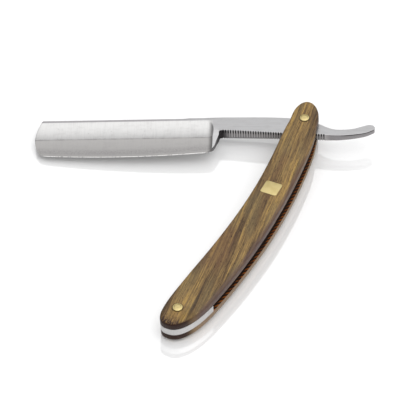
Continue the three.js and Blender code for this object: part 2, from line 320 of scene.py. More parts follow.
def inlayPlace():    # its floor, in the handle's own axes
    s = inlayForm["station"]
    lean = math.atan((outerFace(s + 1) - outerFace(s - 1)) / 2)
    z = outerFace(s) - inlayForm["thickness"] + inlayForm["proud"]
    spot = Matrix.Translation((s, centreLine(s) + inlayForm["offset"], z))
    return spot @ Matrix.Rotation(-lean, 4, "Y")


wedgeForm = {
    "toeClearance": 0.9,
    "closedOffset": -4.5,
    "scoopSegments": 256,
}


def makeWedge(name):    # the end of a slab, scooped out round the closed blade's toe
    form = wedgeForm
    bm = handleSlab(wedgeThickness)
    turn = math.radians(form["closedOffset"])
    crest = toeReach - bladeForm["toeRadius"]
    scoopX = crest * math.cos(turn) + bladeForm["toeCrestY"] * math.sin(turn)
    scoopY = crest * math.sin(turn) - bladeForm["toeCrestY"] * math.cos(turn)
    cut = bmesh.ops.bisect_plane(bm, geom=bm.verts[:] + bm.edges[:] + bm.faces[:],
                                 plane_co=(scoopX, 0, 0), plane_no=(1, 0, 0), clear_inner=True)
    openEdges = [item for item in cut["geom_cut"] if isinstance(item, bmesh.types.BMEdge)]
    bmesh.ops.holes_fill(bm, edges=openEdges)
    bmesh.ops.translate(bm, vec=(0, 0, midZ - wedgeThickness / 2), verts=bm.verts)
    bmesh.ops.recalc_face_normals(bm, faces=bm.faces)
    scoop = rod("scoop", bladeForm["toeRadius"] + form["toeClearance"], scoopX, scoopY,
                midZ - wedgeThickness, midZ + wedgeThickness, segments=form["scoopSegments"])
    return cutAway(makeObject(name, bm), scoop)


pinForm = {
    "radius": 1.0,
    "headRadius": 1.45,
    "headHeight": 0.28,
    "headDome": 0.1,
    "domeShares": (0.5, 0.62, 0.74, 0.85, 0.93),
    "domeLift": 0.15,
    "rimDrop": 0.02,
    "dimple": 0.03,
    "dimpleRadius": 0.3,
    "crownRadius": 0.55,
    "hole": 1.05,
    "recessClearance": 0.05,
    "recessBevel": 0.04,
    "collarRadius": 2.12,
    "collarHeight": 0.5,
    "collarFall": 0.12,
    "collarRound": 0.14,
    "washerRadius": 4.2,
    "washerRound": 0.08,
    "seat": 0.03,
    "turnSteps": 96,
}


def turnedPiece(name, corners, s, z, flip=False):    # spun about Z from (radius, height) corners
    bm = bmesh.new()
    verts = [bm.verts.new((radius, 0, height)) for radius, height in corners]
    edges = [bm.edges.new(pair) for pair in zip(verts, verts[1:] + verts[:1])
             if pair[0].co.x > 1e-6 or pair[1].co.x > 1e-6]
    bmesh.ops.spin(bm, geom=verts + edges, cent=(0, 0, 0), axis=(0, 0, 1), angle=math.tau,
                   steps=pinForm["turnSteps"], use_merge=True)
    bmesh.ops.remove_doubles(bm, verts=bm.verts, dist=1e-5)
    if flip:
        over = Matrix.Rotation(math.pi, 3, "X")
        bmesh.ops.rotate(bm, cent=(0, 0, 0), matrix=over, verts=bm.verts)
    bmesh.ops.translate(bm, vec=(s, 0, z), verts=bm.verts)
    bmesh.ops.recalc_face_normals(bm, faces=bm.faces)
    return makeObject(name, bm)


def arc(radius, x, z, start, end, steps):    # corners along an arc, angles in degrees from +radius
    turns = [math.radians(lerp(start, end, step / steps)) for step in range(steps + 1)]
    return [(x + radius * math.cos(turn), z + radius * math.sin(turn)) for turn in turns]


def pinProfile(reach):    # half of the peened pin above its middle, mirrored below
    form = pinForm
    rim = reach - form["headDome"]
    neck = reach - form["headHeight"]
    dome = [(0, reach - form["dimple"]), (form["dimpleRadius"], reach - form["dimple"] * 0.8),
            (form["crownRadius"], reach)]
    for share in form["domeShares"]:
        fall = form["headDome"] * (share ** 2 - form["domeLift"])
        dome.append((share * form["headRadius"], reach - fall))
    upper = dome + [(form["headRadius"], rim - form["rimDrop"]), (form["headRadius"], neck),
                    (form["radius"], neck)]
    lower = [(radius, -z) for radius, z in reversed(upper)]
    return upper + lower


def collarProfile():
    form = pinForm
    gap = form["recessClearance"]
    recess = form["headRadius"] + gap
    height = form["collarHeight"]
    floor = height - form["headHeight"] - form["seat"]
    shoulder = height - form["collarFall"] - form["collarRound"]
    outer = arc(form["collarRound"], form["collarRadius"] - form["collarRound"], shoulder, 0, 70, 5)
    return [(form["hole"], 0), (form["collarRadius"], 0), *outer,
            (lerp(recess, form["collarRadius"], 0.4), height - form["collarFall"] * 0.3),
            (recess + gap, height), (recess, height - form["recessBevel"]), (recess, floor),
            (form["hole"], floor)]


def washerProfile(thickness):
    hole, rim = pinForm["hole"], pinForm["washerRound"]
    edge = pinForm["washerRadius"] - rim
    return [(hole, 0), *arc(rim, edge, rim, -90, 0, 3), *arc(rim, edge, thickness - rim, 0, 90, 3),
            (hole, thickness)]


bladeForm = {
    "spineY": 4.7,
    "spineHalf": 2.6,
    "spineChamfer": 0.25,
    "spineFlatY": 3.2,
    "creaseY": -6.3,
    "creaseHalf": 0.95,
    "edgeY": -17.05,
    "edgeHalf": 0.08,
    "edgeCrest": 84,
    "edgeRadius": 430,
    "upperWheel": 20,
    "lowerWheel": 70,
    "toeRadius": 17.7,
    "toeCrestY": -5.6,
    "toeCornerHeight": 0.9,
    "toeCornerLength": 2.4,
    "shoulderX": -40.1,
    "shoulderCove": 3.2,
    "heelX": -39.6,
    "heelCornerRadius": 5,
    "heelCornerCut": 0.9,
    "heelLean": 1.4,
    "throatRadius": 2.4,
    "stabiliserTopY": -1.65,
    "stabiliserHalf": 2.6,
    "stabiliserSlope": 0.135,
    "stabiliserEnd": 1.5,
    "chamferFade": 8,
    "shankUnderY": -3.15,
    "tangUnderY": -6.05,
    "shankHalf": 2.5,
    "tangHalf": 1.75,
    "tangLand": 5.5,
    "tailHalf": 1.05,
    "jimpPitch": 1.12,
    "jimpDepth": 0.45,
    "jimpWallShare": 0.125,
    "jimpFloorShare": 0.3,
    "jimpsPastPivot": 10,
    "rimRound": 0.14,
    "rimSteps": 2,
    "stationLead": 0.1,
    "bladeColumns": 84,
    "shoulderColumns": 56,
    "throatColumns": 4,
    "tailColumns": 44,
    "creaseRow": 7,
    "lowerRows": 24,
}

# where the rows lie, as shares of the way from the spine to the shank's underside
shankDepth = bladeForm["spineY"] - bladeForm["shankUnderY"]
flatShare = (bladeForm["spineY"] - bladeForm["spineFlatY"]) / shankDepth
spineRows = [0, 0.032, 0.08, 0.135, flatShare, 0.24, 0.29, 0.35, 0.41, 0.48, 0.55, 0.62, 0.69,
             0.77, 0.86, 1]
lastUpper = len(spineRows) - 1

# (x, y) points that the tang and the tail pass through
tangTop = [(-46.6, 4.7), (-37.6, 5.0), (-27.7, 5.05), (-14.8, 4.95), (-7.4, 4.45), (0, 3.25),
           (6.24, 0.4), (9.98, -1.85), (13.1, -3.1), (16.8, -3.3), (21.2, -2.8), (25.6, -1.2),
           (28.7, -0.15), (30.4, -0.5)]
tailUnder = [(3, -6.27), (9.4, -6.74), (15.6, -7.0), (21.8, -6.4), (27.1, -5.25), (30.1, -3.7)]
tailTip = [(30.4, -0.5), (31.2, -2.3), (30.1, -3.7)]


def edgeY(x):
    form = bladeForm
    return form["edgeY"] + (x + form["edgeCrest"]) ** 2 / (2 * form["edgeRadius"])


def toeX(y):
    radius = bladeForm["toeRadius"]
    return radius - toeReach - math.sqrt(radius ** 2 - (y - bladeForm["toeCrestY"]) ** 2)


def spineTop(x):
    return bladeForm["spineY"] if x < tangTop[0][0] else heightThrough(tangTop, x)


def undersideY(x):
    form = bladeForm
    return form["tangUnderY"] + (form["tangUnderY"] - form["shankUnderY"]) / -form["heelX"] * x


def wheelSurface(wheel, x, y):    # height that a grinding wheel leaves, coved at the shoulder
    radius, centreY, centreZ = wheel
    end, cove = bladeForm["shoulderX"], bladeForm["shoulderCove"]
    if x >= end:
        return math.inf
    past = max(0, x - (end - cove))
    reach = radius - cove + math.sqrt(cove ** 2 - past ** 2)
    return centreZ - math.sqrt(max(0, reach ** 2 - (y - centreY) ** 2))


def wheelThrough(radius, high, low):    # radius and centre of a wheel touching two (y, z) points
    y1, z1 = high
    y2, z2 = low
    chord = math.hypot(y1 - y2, z1 - z2)
    rise = math.sqrt(radius ** 2 - (chord / 2) ** 2)
    centreY = (y1 + y2) / 2 - rise * (z1 - z2) / chord
    centreZ = (z1 + z2) / 2 + rise * (y1 - y2) / chord
    return radius, centreY, centreZ


def bladePoint(across, half):
    return bladeForm[across], bladeForm[half]


spinePoint = bladePoint("spineFlatY", "spineHalf")
creasePoint = bladePoint("creaseY", "creaseHalf")
edgePoint = bladePoint("edgeY", "edgeHalf")
wheels = [wheelThrough(bladeForm["upperWheel"], spinePoint, creasePoint),
          wheelThrough(bladeForm["lowerWheel"], creasePoint, edgePoint)]


def halfThickness(x, y):
    form = bladeForm
    taper = (form["shankHalf"] - form["tangHalf"]) / (-form["heelX"] - 1 - form["tangLand"])
    stock = form["tangHalf"] + taper * max(0, -form["tangLand"] - x)
    if x > form["tangLand"]:
        past = (x - form["tangLand"]) / (tailReach + 2 - form["tangLand"])
        stock = lerp(form["tangHalf"], form["tailHalf"], past)
    stock = min(stock, form["spineHalf"])
    if x < form["heelX"] + form["stabiliserEnd"]:
        below = max(0, form["stabiliserTopY"] - y)
        stock = min(stock, form["stabiliserHalf"] - form["stabiliserSlope"] * below)
        fade = smoothstep(x, tangTop[0][0] - form["chamferFade"], tangTop[0][0])
        chamferTop = form["spineY"] - form["spineChamfer"] + fade
        stock = min(stock, form["spineHalf"] - max(0, y - chamferTop))
    return max(form["edgeHalf"], min(stock, *(wheelSurface(wheel, x, y) for wheel in wheels)))


def stationX():    # where the shoulder's fine columns start
    form = bladeForm
    coveStart = form["shoulderX"] - form["shoulderCove"]
    return min(coveStart, form["heelX"] - form["heelCornerRadius"]) - form["stationLead"]


def throatCurve(share):    # the fillet between heel and shank
    form = bladeForm
    x0 = form["heelX"] + form["heelLean"]
    x1 = form["heelX"] + form["throatRadius"]
    low, high = form["shankUnderY"] - form["throatRadius"], undersideY(x1)
    return bend(Vector((x0, low)), Vector((x0, high)), Vector((x1, high)), share)


def throatMiddle():
    return throatCurve(0.5)


def heelCorner(share):    # from the cutting edge round to the heel's back
    form = bladeForm
    cut = form["heelCornerCut"]
    x = form["heelX"] - form["heelCornerRadius"]
    y = edgeY(x)
    corner = Vector((form["heelX"] - cut, y + cut))
    end = Vector((form["heelX"], y + form["heelCornerRadius"]))
    return bend(Vector((x, y)), corner, end, share)


def tailPoint(along, share):    # from the last notch to the rounded tip
    eased = math.sin(along * math.pi / 2)
    startX = jimpPoints[-1][0]
    topX, underX = lerp(startX, tailTip[0][0], eased), lerp(startX, tailTip[-1][0], eased)
    top = Vector((topX, spineTop(topX)))
    under = Vector((underX, heightThrough(tailUnder, underX)))
    first, middle, last = (Vector(spot) for spot in tailTip)
    tip = bend(first, 2 * middle - (first + last) / 2, last, share)
    return top.lerp(under, share) + (tip - first.lerp(last, share)) * eased ** 6


def upperPoint(column, row):    # from the spine down to the shank's underside, toe to tail
    form = bladeForm
    split = form["shankUnderY"]
    share = spineRows[row]
    blades, shoulders = form["bladeColumns"], form["shoulderColumns"]
    if column <= blades:
        y = lerp(form["spineY"], split, share)
        return Vector((lerp(toeX(y), stationX(), column / blades), y))
    if column <= blades + shoulders:
        along = (column - blades) / shoulders
        bottom = Vector((stationX(), split)).lerp(throatMiddle(), along)
        fixed = lerp(form["spineY"], split, share)
        free = lerp(spineTop(bottom.x), bottom.y, share)
        blend = smoothstep(bottom.x, form["shoulderX"] - 1, throatMiddle().x) if row > 0 else 1
        return Vector((bottom.x, lerp(fixed, free, blend) if row < lastUpper else bottom.y))
    notched = column - blades - shoulders
    if notched <= len(jimpPoints):
        x, y, dip = jimpPoints[notched - 1]
        return Vector((x, lerp(spineTop(x), y, share) + (dip if row == lastUpper else 0)))
    return tailPoint((notched - len(jimpPoints)) / form["tailColumns"], share)


def jimpColumnPoints():    # (x, underside height, notch depth) for each column
    form = bladeForm
    points = []
    for step in range(form["throatColumns"]):
        spot = throatCurve(lerp(0.5, 1, (step + 1) / form["throatColumns"]))
        points.append((spot.x, spot.y, 0))
    start = form["heelX"] + form["throatRadius"] + form["jimpPitch"] / 2
    count = int((form["jimpsPastPivot"] - start) / form["jimpPitch"])
    wall = form["jimpPitch"] * form["jimpWallShare"]
    floor = form["jimpPitch"] * form["jimpFloorShare"]
    deep = form["jimpDepth"]
    for notch in range(count):
        x = start + notch * form["jimpPitch"]
        for along, dip in ((0, 0), (wall, deep), (wall + floor, deep), (2 * wall + floor, 0)):
            points.append((x + along, undersideY(x + along), dip))
    return points


jimpPoints = jimpColumnPoints()


def lowerRowY(row, top, bottom):    # rows from top to the crease, then on down to bottom
    creaseRow, creaseY = bladeForm["creaseRow"], bladeForm["creaseY"]
    if row <= creaseRow:
        return lerp(top, creaseY, row / creaseRow)
    return lerp(creaseY, bottom, (row - creaseRow) / (bladeForm["lowerRows"] - creaseRow))


def lowerPoint(column, row):    # from there down to the cutting edge, toe to heel
    form = bladeForm
    blades, shoulders = form["bladeColumns"], form["shoulderColumns"]
    if column <= blades:
        cornerY = edgeY(-toeReach) + form["toeCornerHeight"]
        x = lerp(toeX(cornerY), stationX(), column / blades)
        turning = max(0, 1 - (x - toeX(cornerY)) / form["toeCornerLength"]) ** 2
        y = lowerRowY(row, form["shankUnderY"], lerp(edgeY(x), cornerY, turning))
        return Vector((lerp(toeX(y), stationX(), column / blades), y))
    along = (column - blades) / shoulders
    edge = Vector((stationX(), edgeY(stationX())))
    corner = heelCorner(0.5)
    left = Vector((stationX(), lowerRowY(row, form["shankUnderY"], edge.y)))
    point = left.lerp(heelBack(lowerRowY(row, throatMiddle().y, corner.y)), along)
    down = (row - form["creaseRow"]) / (form["lowerRows"] - form["creaseRow"])
    if down > 0:
        point += (bottomRim(along) - edge.lerp(corner, along)) * down
    return point


def bottomRim(along):    # cutting edge as far as the middle of the heel's corner
    startX = bladeForm["heelX"] - bladeForm["heelCornerRadius"]
    lead = (startX - stationX()) / (heelCorner(0.5).x - stationX())
    if along < lead:
        x = lerp(stationX(), startX, along / lead)
        return Vector((x, edgeY(x)))
    return heelCorner((along - lead) / (1 - lead) / 2)


def pointAtHeight(curve, y, last):    # found by halving, between shares 0 and last
    share = last / 2
    for step in range(20):
        share += last * 0.5 ** (step + 2) * (1 if curve(share).y < y else -1)
    return Vector((curve(share).x, y))


def heelBack(y):    # the heel's back line at a height
    top, foot = heelCorner(1), throatCurve(0)
    if y < top.y:
        return pointAtHeight(heelCorner, y, 1)
    if y < foot.y:
        return top.lerp(foot, (y - top.y) / (foot.y - top.y))
    return pointAtHeight(throatCurve, y, 0.5)


def sheetOfPoints(bm, columns, rows, pointAt):    # one side of the blade, above its middle plane
    grid = bmesh.ops.create_grid(bm, x_segments=columns, y_segments=rows, size=1)
    for vert in grid["verts"]:
        column = round((vert.co.x + 1) / 2 * columns)
        row = round((1 - vert.co.y) / 2 * rows)
        x, y = pointAt(column, row)
        vert.co = (x, y, halfThickness(x, y))


def makeBlade(name):
    form = bladeForm
    bm = bmesh.new()
    shoulderEnd = form["bladeColumns"] + form["shoulderColumns"]
    columns = shoulderEnd + len(jimpPoints) + form["tailColumns"]
    sheetOfPoints(bm, columns, lastUpper, upperPoint)
    sheetOfPoints(bm, shoulderEnd, form["lowerRows"], lowerPoint)
    bmesh.ops.remove_doubles(bm, verts=bm.verts, dist=1e-4)
    rim = [edge for edge in bm.edges if edge.is_boundary]
    grown = bmesh.ops.extrude_edge_only(bm, edges=rim)["geom"]
    for vert in (item for item in grown if isinstance(item, bmesh.types.BMVert)):
        vert.co.z = 0
    bmesh.ops.mirror(bm, geom=bm.verts[:] + bm.edges[:] + bm.faces[:], axis="Z", merge_dist=1e-5)
    bmesh.ops.remove_doubles(bm, verts=bm.verts, dist=1e-5)
    bmesh.ops.recalc_face_normals(bm, faces=bm.faces)
    soften = [edge for edge in bm.edges if isBladeRim(edge)]
    bmesh.ops.bevel(bm, geom=soften, affect="EDGES", offset_type="OFFSET", offset=form["rimRound"],
                    segments=form["rimSteps"], profile=0.5, material=-1, clamp_overlap=True)
    bmesh.ops.translate(bm, vec=(0, 0, midZ), verts=bm.verts)
    return cutAway(makeObject(name, bm), rod("bore", pinForm["hole"], 0, 0, 0, 2 * midZ))


def isBladeRim(edge):    # outer edges, but for the notches and the cutting edge
    if len(edge.link_faces) != 2 or edge.calc_face_angle(0) < 1:
        return False
    spot = (edge.verts[0].co + edge.verts[1].co) / 2
    if abs(spot.z) < 0.9:
        return False
    upright = abs(edge.verts[0].co.z - edge.verts[1].co.z) > 0.2
    nearNotches = spot.x < jimpPoints[-1][0] + 0.5 and spot.y < undersideY(spot.x) + 1
    return not upright and not (nearNotches and spot.x > bladeForm["heelX"])


def isGroundLine(edge):    # the crisp lines where the hollows meet
    heights = [vert.co.y for vert in edge.verts]
    onLine = any(max(abs(y - bladeForm[line]) for y in heights) < 2e-3
                 for line in ("creaseY", "spineFlatY"))
    return onLine and max(vert.co.x for vert in edge.verts) < bladeForm["shoulderX"] - 0.8


class Wire:    # a socket that can be calculated with
    def __init__(self, finish, socket):
        self.finish = finish
        self.socket = socket

    def __add__(self, other):
        return self.finish.maths("ADD", self, other)

    def __radd__(self, other):
        return self.finish.maths("ADD", other, self)

    def __sub__(self, other):
        return self.finish.maths("SUBTRACT", self, other)

    def __rsub__(self, other):
        return self.finish.maths("SUBTRACT", other, self)

    def __mul__(self, other):
        return self.finish.maths("MULTIPLY", self, other)

    def __rmul__(self, other):
        return self.finish.maths("MULTIPLY", other, self)

    def __truediv__(self, other):
        return self.finish.maths("DIVIDE", self, other)

    def __pow__(self, other):
        return self.finish.maths("POWER", self, other)

    def __abs__(self):
        return self.finish.maths("ABSOLUTE", self)


class Finish:    # a node tree being wired
    def __init__(self, tree):
        self.tree = tree
        tree.nodes.clear()

    def add(self, kind, settings=None, values=None, out=0):
        node = self.tree.nodes.new(kind)
        for name, setting in (settings or {}).items():
            if name == "stops":
                ramp = node.color_ramp
                while len(ramp.elements) < len(setting):
                    ramp.elements.new(1)
                for element, (position, colour) in zip(ramp.elements, setting):
                    element.position = position
                    element.color = (*colour, 1)
            else:
                setattr(node, name, setting)
        for name, value in (values or {}).items():
            if isinstance(value, Wire):
                self.tree.links.new(value.socket, node.inputs[name])
            else:
                node.inputs[name].default_value = value
        return Wire(self, node.outputs[out])

    def maths(self, operation, first, second=0.0):
        return self.add("ShaderNodeMath", {"operation": operation}, {0: first, 1: second})

    def space(self, turn=0.0):    # the piece's own millimetres, turned about Z
        coords = self.add("ShaderNodeTexCoord", out="Object")
        return self.add("ShaderNodeMapping", {}, {"Vector": coords, "Scale": (1 / mm,) * 3,
                                                  "Rotation": (0, 0, -turn)})

    def normal(self):
        return self.axes(self.add("ShaderNodeTexCoord", out="Normal"))

    def axes(self, place):
        node = self.add("ShaderNodeSeparateXYZ", {}, {"Vector": place}).socket.node
        return [Wire(self, output) for output in node.outputs]

    def point(self, x, y, z):
        return self.add("ShaderNodeCombineXYZ", {}, {"X": x, "Y": y, "Z": z})

    def noise(self, place, cycles, detail=3, roughness=0.5):    # cycles per mm on each axis
        squeezed = self.add("ShaderNodeVectorMath", {"operation": "MULTIPLY"},
                            {0: place, 1: cycles})
        return self.add("ShaderNodeTexNoise", {}, {"Vector": squeezed, "Scale": 1, "Detail": detail,
                                                   "Roughness": roughness})

    def between(self, value, low, high):    # 0 at low to 1 at high, smoothly
        return self.add("ShaderNodeMapRange", {"interpolation_type": "SMOOTHSTEP"},
                        {"Value": value, "From Min": low, "From Max": high})

    def mix(self, share, first, second):
        first, second = ((*colour, 1) if isinstance(colour, tuple) else colour
                         for colour in (first, second))
        return self.add("ShaderNodeMix", {"data_type": "RGBA"},
                        {0: share, 6: first, 7: second}, out=2)

    def ramp(self, value, stops):
        return self.add("ShaderNodeValToRGB", {"stops": stops}, {"Fac": value})

    def bump(self, height, distance, strength):    # distance in millimetres
        return self.add("ShaderNodeBump", {}, {"Height": height, "Distance": distance * mm,
                                               "Strength": strength})

    def surface(self, **values):
        named = {name.replace("_", " "): value for name, value in values.items()}
        shader = self.add("ShaderNodeBsdfPrincipled", {}, named)
        self.end("ShaderNodeOutputMaterial", shader)

    def end(self, kind, shader):
        output = self.tree.nodes.new(kind)
        self.tree.links.new(shader.socket, output.inputs["Surface"])


def newMaterial(name):
    material = bpy.data.materials.new(name)
    material.use_nodes = True
    return material, Finish(material.node_tree)


woodLook = {
    "dark": (0.046, 0.025, 0.011),
    "brown": (0.130, 0.074, 0.028),
    "tan": (0.255, 0.160, 0.056),
    "gold": (0.450, 0.280, 0.075),
    "toneStops": (0.39, 0.465, 0.525, 0.60),
    "olive": (0.150, 0.118, 0.058),
    "russet": (0.150, 0.074, 0.034),
    "grainTurn": 8.4,
    # colour of the pores, also used for the painted contact shadow round the collars
    "poreAndPinShadow": (0.016, 0.009, 0.005),
    "pinShadow": (2.2, 2.75),
    # painted sheen on the rims and side facets of the front and the back scale
    "side": (0.100, 0.060, 0.054),
    "backSideSheen": (0.270, 0.185, 0.120),
    "oliveAmount": 0.35,
    "russetAmount": 0.5,
    "fleckAmount": 0.35,
    "poreAmount": 0.75,
    "pinShadowAmount": 0.85,
    "endGrainAndShade": (0.020, 0.004, 0.002),
    "endGold": (0.260, 0.150, 0.012),
    # painted shade in the gap between the scales
    "innerShade": (0.004, 0.001, 0.0),
    "innerLight": (0.290, 0.075, 0.001),
    "sawPitch": 1.6,
    "sawSlant": 50,
    "roughness": 0.42,
}


def woodMaterial(name, seed, side):    # side is 1 for the front scale and -1 for the back one
    look, form = woodLook, handleForm
    material, wood = newMaterial(name)
    place = wood.space(handleTurn)
    s, n, z = wood.axes(place)
    crest = pinSpacing / 2 + form["crestPastMiddle"]
    sag = (s - crest) * (s - crest) * (1 / (2 * form["curveRadius"]))
    turn = math.radians(look["grainTurn"])
    level = n * math.cos(turn) - s * math.sin(turn) + sag * 0.15
    wander = wood.noise(place, (0.03, 0.08, 0.1), detail=2)
    grain = wood.point(s + seed, level + wander * 2.2, z)
    streaks = wood.noise(grain, (0.014, 0.34, 0.3), detail=4, roughness=0.55)
    bands = wood.noise(grain, (0.030, 1.35, 1.1), detail=4, roughness=0.65)
    fibres = wood.noise(grain, (0.14, 3.6, 3.0), detail=3, roughness=0.65)
    pores = wood.noise(grain, (0.45, 4.2, 4.2), detail=2)
    fleck = wood.noise(grain, (0.35, 1.3, 1.3), detail=3, roughness=0.7)
    figure = wood.noise(grain, (0.03, 0.16, 0.16), detail=2)
    tone = streaks * 0.46 + bands * 0.30 + fibres * 0.24
    tones = [look[shade] for shade in ("dark", "brown", "tan", "gold")]
    colour = wood.ramp(tone, list(zip(look["toneStops"], tones)))
    colour = wood.mix(wood.between(figure, 0.46, 0.6) * look["oliveAmount"], colour, look["olive"])
    blush = wood.noise(grain, (0.02, 0.11, 0.11), detail=2)
    colour = wood.mix(wood.between(blush, 0.48, 0.62) * look["russetAmount"], colour, look["russet"])
    colour = wood.mix(wood.between(fleck, 0.54, 0.7) * look["fleckAmount"], colour, look["dark"])
    poreMask = wood.between(pores, 0.6, 0.67)
    colour = wood.mix(poreMask * look["poreAmount"], colour, look["poreAndPinShadow"])
    for station in (0, pinSpacing):    # painted contact shadow round the collars
        fromPin = ((s - station) * (s - station) + n * n) ** 0.5
        shadow = 1 - wood.between(fromPin, *look["pinShadow"])
        colour = wood.mix(shadow * look["pinShadowAmount"], colour, look["poreAndPinShadow"])

    right, _, facing = wood.normal()
    inner = wood.between(facing * -side, *((0.15, 0.5) if side > 0 else (0.6, 0.9)))
    beside = 1 - wood.between(abs(facing), 0.5, 0.97)
    offset = n + sag - crest * crest / (2 * form["curveRadius"])
    width = s * (form["farSwell"] / pinSpacing) + (form["pivotHalfWidth"] + form["shoulderSwell"])
    depth = width - abs(offset)    # how far in from the rim
    lower = wood.between(s, 20, 55) * 0.5 + 0.35
    # painted sheen along the rounded rim and on the side facets that face right
    rimSheen = (1 - wood.between(depth, 0.7, 1.9)) * wood.between(offset, 0, 1)
    rimSheen = wood.maths("MAXIMUM", rimSheen * 0.75, beside * wood.between(right, -0.2, 0.3))
    colour = wood.mix(rimSheen * lower, colour, look["side" if side > 0 else "backSideSheen"])

    pastPin = s - pinSpacing
    far = wood.between(pastPin, -3, 5)
    colour = wood.mix(far * wood.between(figure, 0.42, 0.56) * 0.4, colour, look["endGold"])
    # past the wedge pin: dark flecks of end grain, and painted shade on the side facets there
    rim = wood.between(pastPin, 4, 9)
    dim = wood.maths("MAXIMUM", rim * wood.between(fleck, 0.4, 0.55), beside * 0.95)
    colour = wood.mix(wood.between(pastPin, 1, 6) * dim, colour, look["endGrainAndShade"])

    # inner faces: orange saw marks over painted near-black shade in the gap between the scales, with
    # more painted shade further in from the rim
    slant = math.radians(look["sawSlant"])
    across = (s * math.cos(slant) + n * math.sin(slant)) * (math.tau / look["sawPitch"])
    saw = wood.between(wood.maths("SINE", across + wander * 9) * 0.5 + 0.5, 0.1, 1)
    sawn = wood.mix(saw * wood.between(bands, 0.3, 0.55), look["innerShade"], look["innerLight"])
    sawn = wood.mix(wood.between(depth, 0.5, 1.5) * 0.9, sawn, look["innerShade"])
    colour = wood.mix(inner, colour, sawn)
    height = fibres * 0.4 - poreMask * 0.6 + saw * inner * 1.5
    roughness = look["roughness"] + fleck * 0.1 + poreMask * 0.2 + inner * 0.3
    polish = (1 - inner) * (1 - beside) * 0.1
    wood.surface(Base_Color=colour, Roughness=roughness, Normal=wood.bump(height, 0.06, 0.6),
                 Specular_IOR_Level=0.25, Coat_Weight=polish, Coat_Roughness=0.2)
    return material


steelLook = {
    "upperHollow": (0.582, 0.578, 0.572),
    "lowerHollow": (0.372, 0.363, 0.356),
    "flats": (0.510, 0.508, 0.512),
    "strip": (0.430, 0.415, 0.425),
    # colour of scratches, wear and the speckled band above the edge, also used for the painted shade
    # along the crease
    "scratch": (0.26, 0.250, 0.250),
    # painted shade on faces turned down towards the front
    "underside": (0.40, 0.385, 0.385),
    # painted shade on the tail's underside
    "tailUnder": (0.26, 0.248, 0.252),
    # near-black for the painted shade in the notches and throat, the painted shadow line on the
    # jimps and the dark line on the tail
    "notch": (0.010, 0.008, 0.010),
    # painted highlight along the cutting edge
    "edge": (0.85, 0.84, 0.82),
    "scratchAmount": 0.22,
    "blotchAmount": 0.12,
    "pitAmount": 0.5,
    "roughness": 0.25,
}


